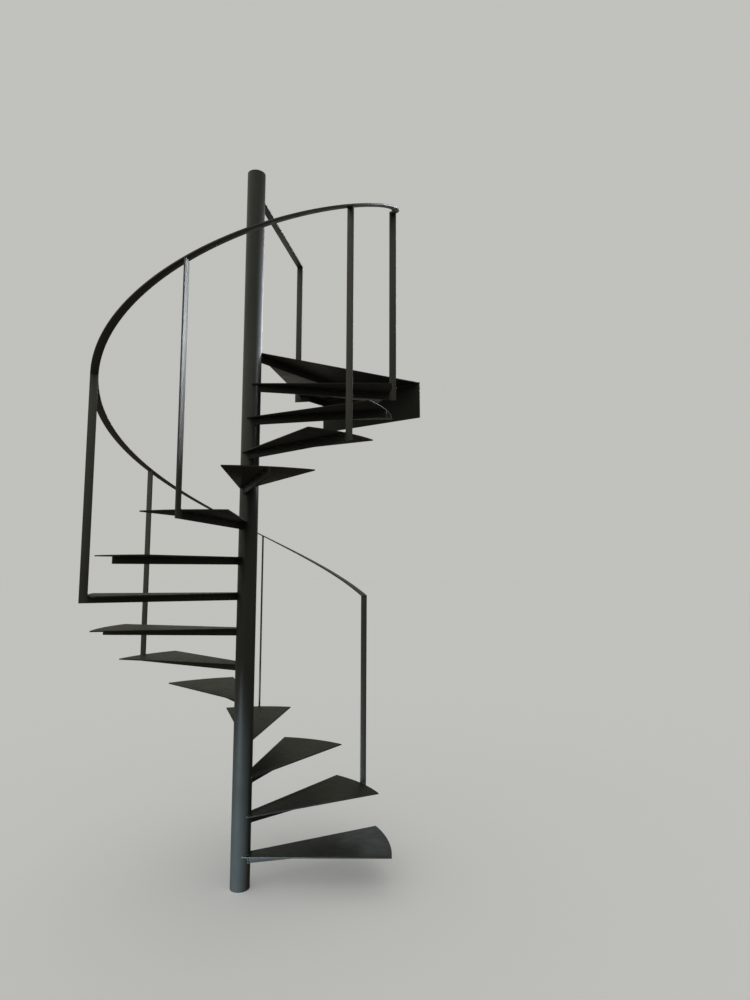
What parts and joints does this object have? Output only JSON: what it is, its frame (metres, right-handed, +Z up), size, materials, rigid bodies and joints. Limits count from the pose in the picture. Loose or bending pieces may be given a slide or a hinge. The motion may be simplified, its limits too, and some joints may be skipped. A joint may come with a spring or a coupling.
{
  "type": "spiral staircase",
  "caption": "Steel spiral staircase round a central column, with wedge treads on flat-bar ribs, flat-bar posts, a helical handrail and a guarded landing.",
  "frame": {"origin": "centre of the column's foot, on the floor", "axes": "+Z up along the column; +Y horizontal, the way off the landing through the wall plate; the flight climbs counter-clockwise seen from above"},
  "size_m": [1.6419, 1.8506, 3.89],
  "materials": {
    "column_paint": "satin anthracite powder coat",
    "plate_paint": "satin anthracite powder coat",
    "bar_paint": "satin anthracite powder coat"
  },
  "bodies": {
    "root": {"column": "column_paint", "column_cap": "column_paint", "tread_01": "plate_paint", "tread_02": "plate_paint", "tread_03": "plate_paint", "tread_04": "plate_paint", "tread_05": "plate_paint", "tread_06": "plate_paint", "tread_07": "plate_paint", "tread_08": "plate_paint", "tread_09": "plate_paint", "tread_10": "plate_paint", "tread_11": "plate_paint", "tread_12": "plate_paint", "tread_13": "plate_paint", "tread_14": "plate_paint", "rib_01": "bar_paint", "rib_02": "bar_paint", "rib_03": "bar_paint", "rib_04": "bar_paint", "rib_05": "bar_paint", "rib_06": "bar_paint", "rib_07": "bar_paint", "rib_08": "bar_paint", "rib_09": "bar_paint", "rib_10": "bar_paint", "rib_11": "bar_paint", "rib_12": "bar_paint", "rib_13": "bar_paint", "rib_14": "bar_paint", "post_02": "bar_paint", "post_04": "bar_paint", "post_06": "bar_paint", "post_08": "bar_paint", "post_10": "bar_paint", "post_12": "bar_paint", "post_14": "bar_paint", "handrail": "bar_paint", "landing_plate": "plate_paint", "landing_rib": "bar_paint", "landing_side_rib": "bar_paint", "wall_plate": "bar_paint", "guard_post": "bar_paint", "guard_rail": "bar_paint"}
  },
  "joints": []
}
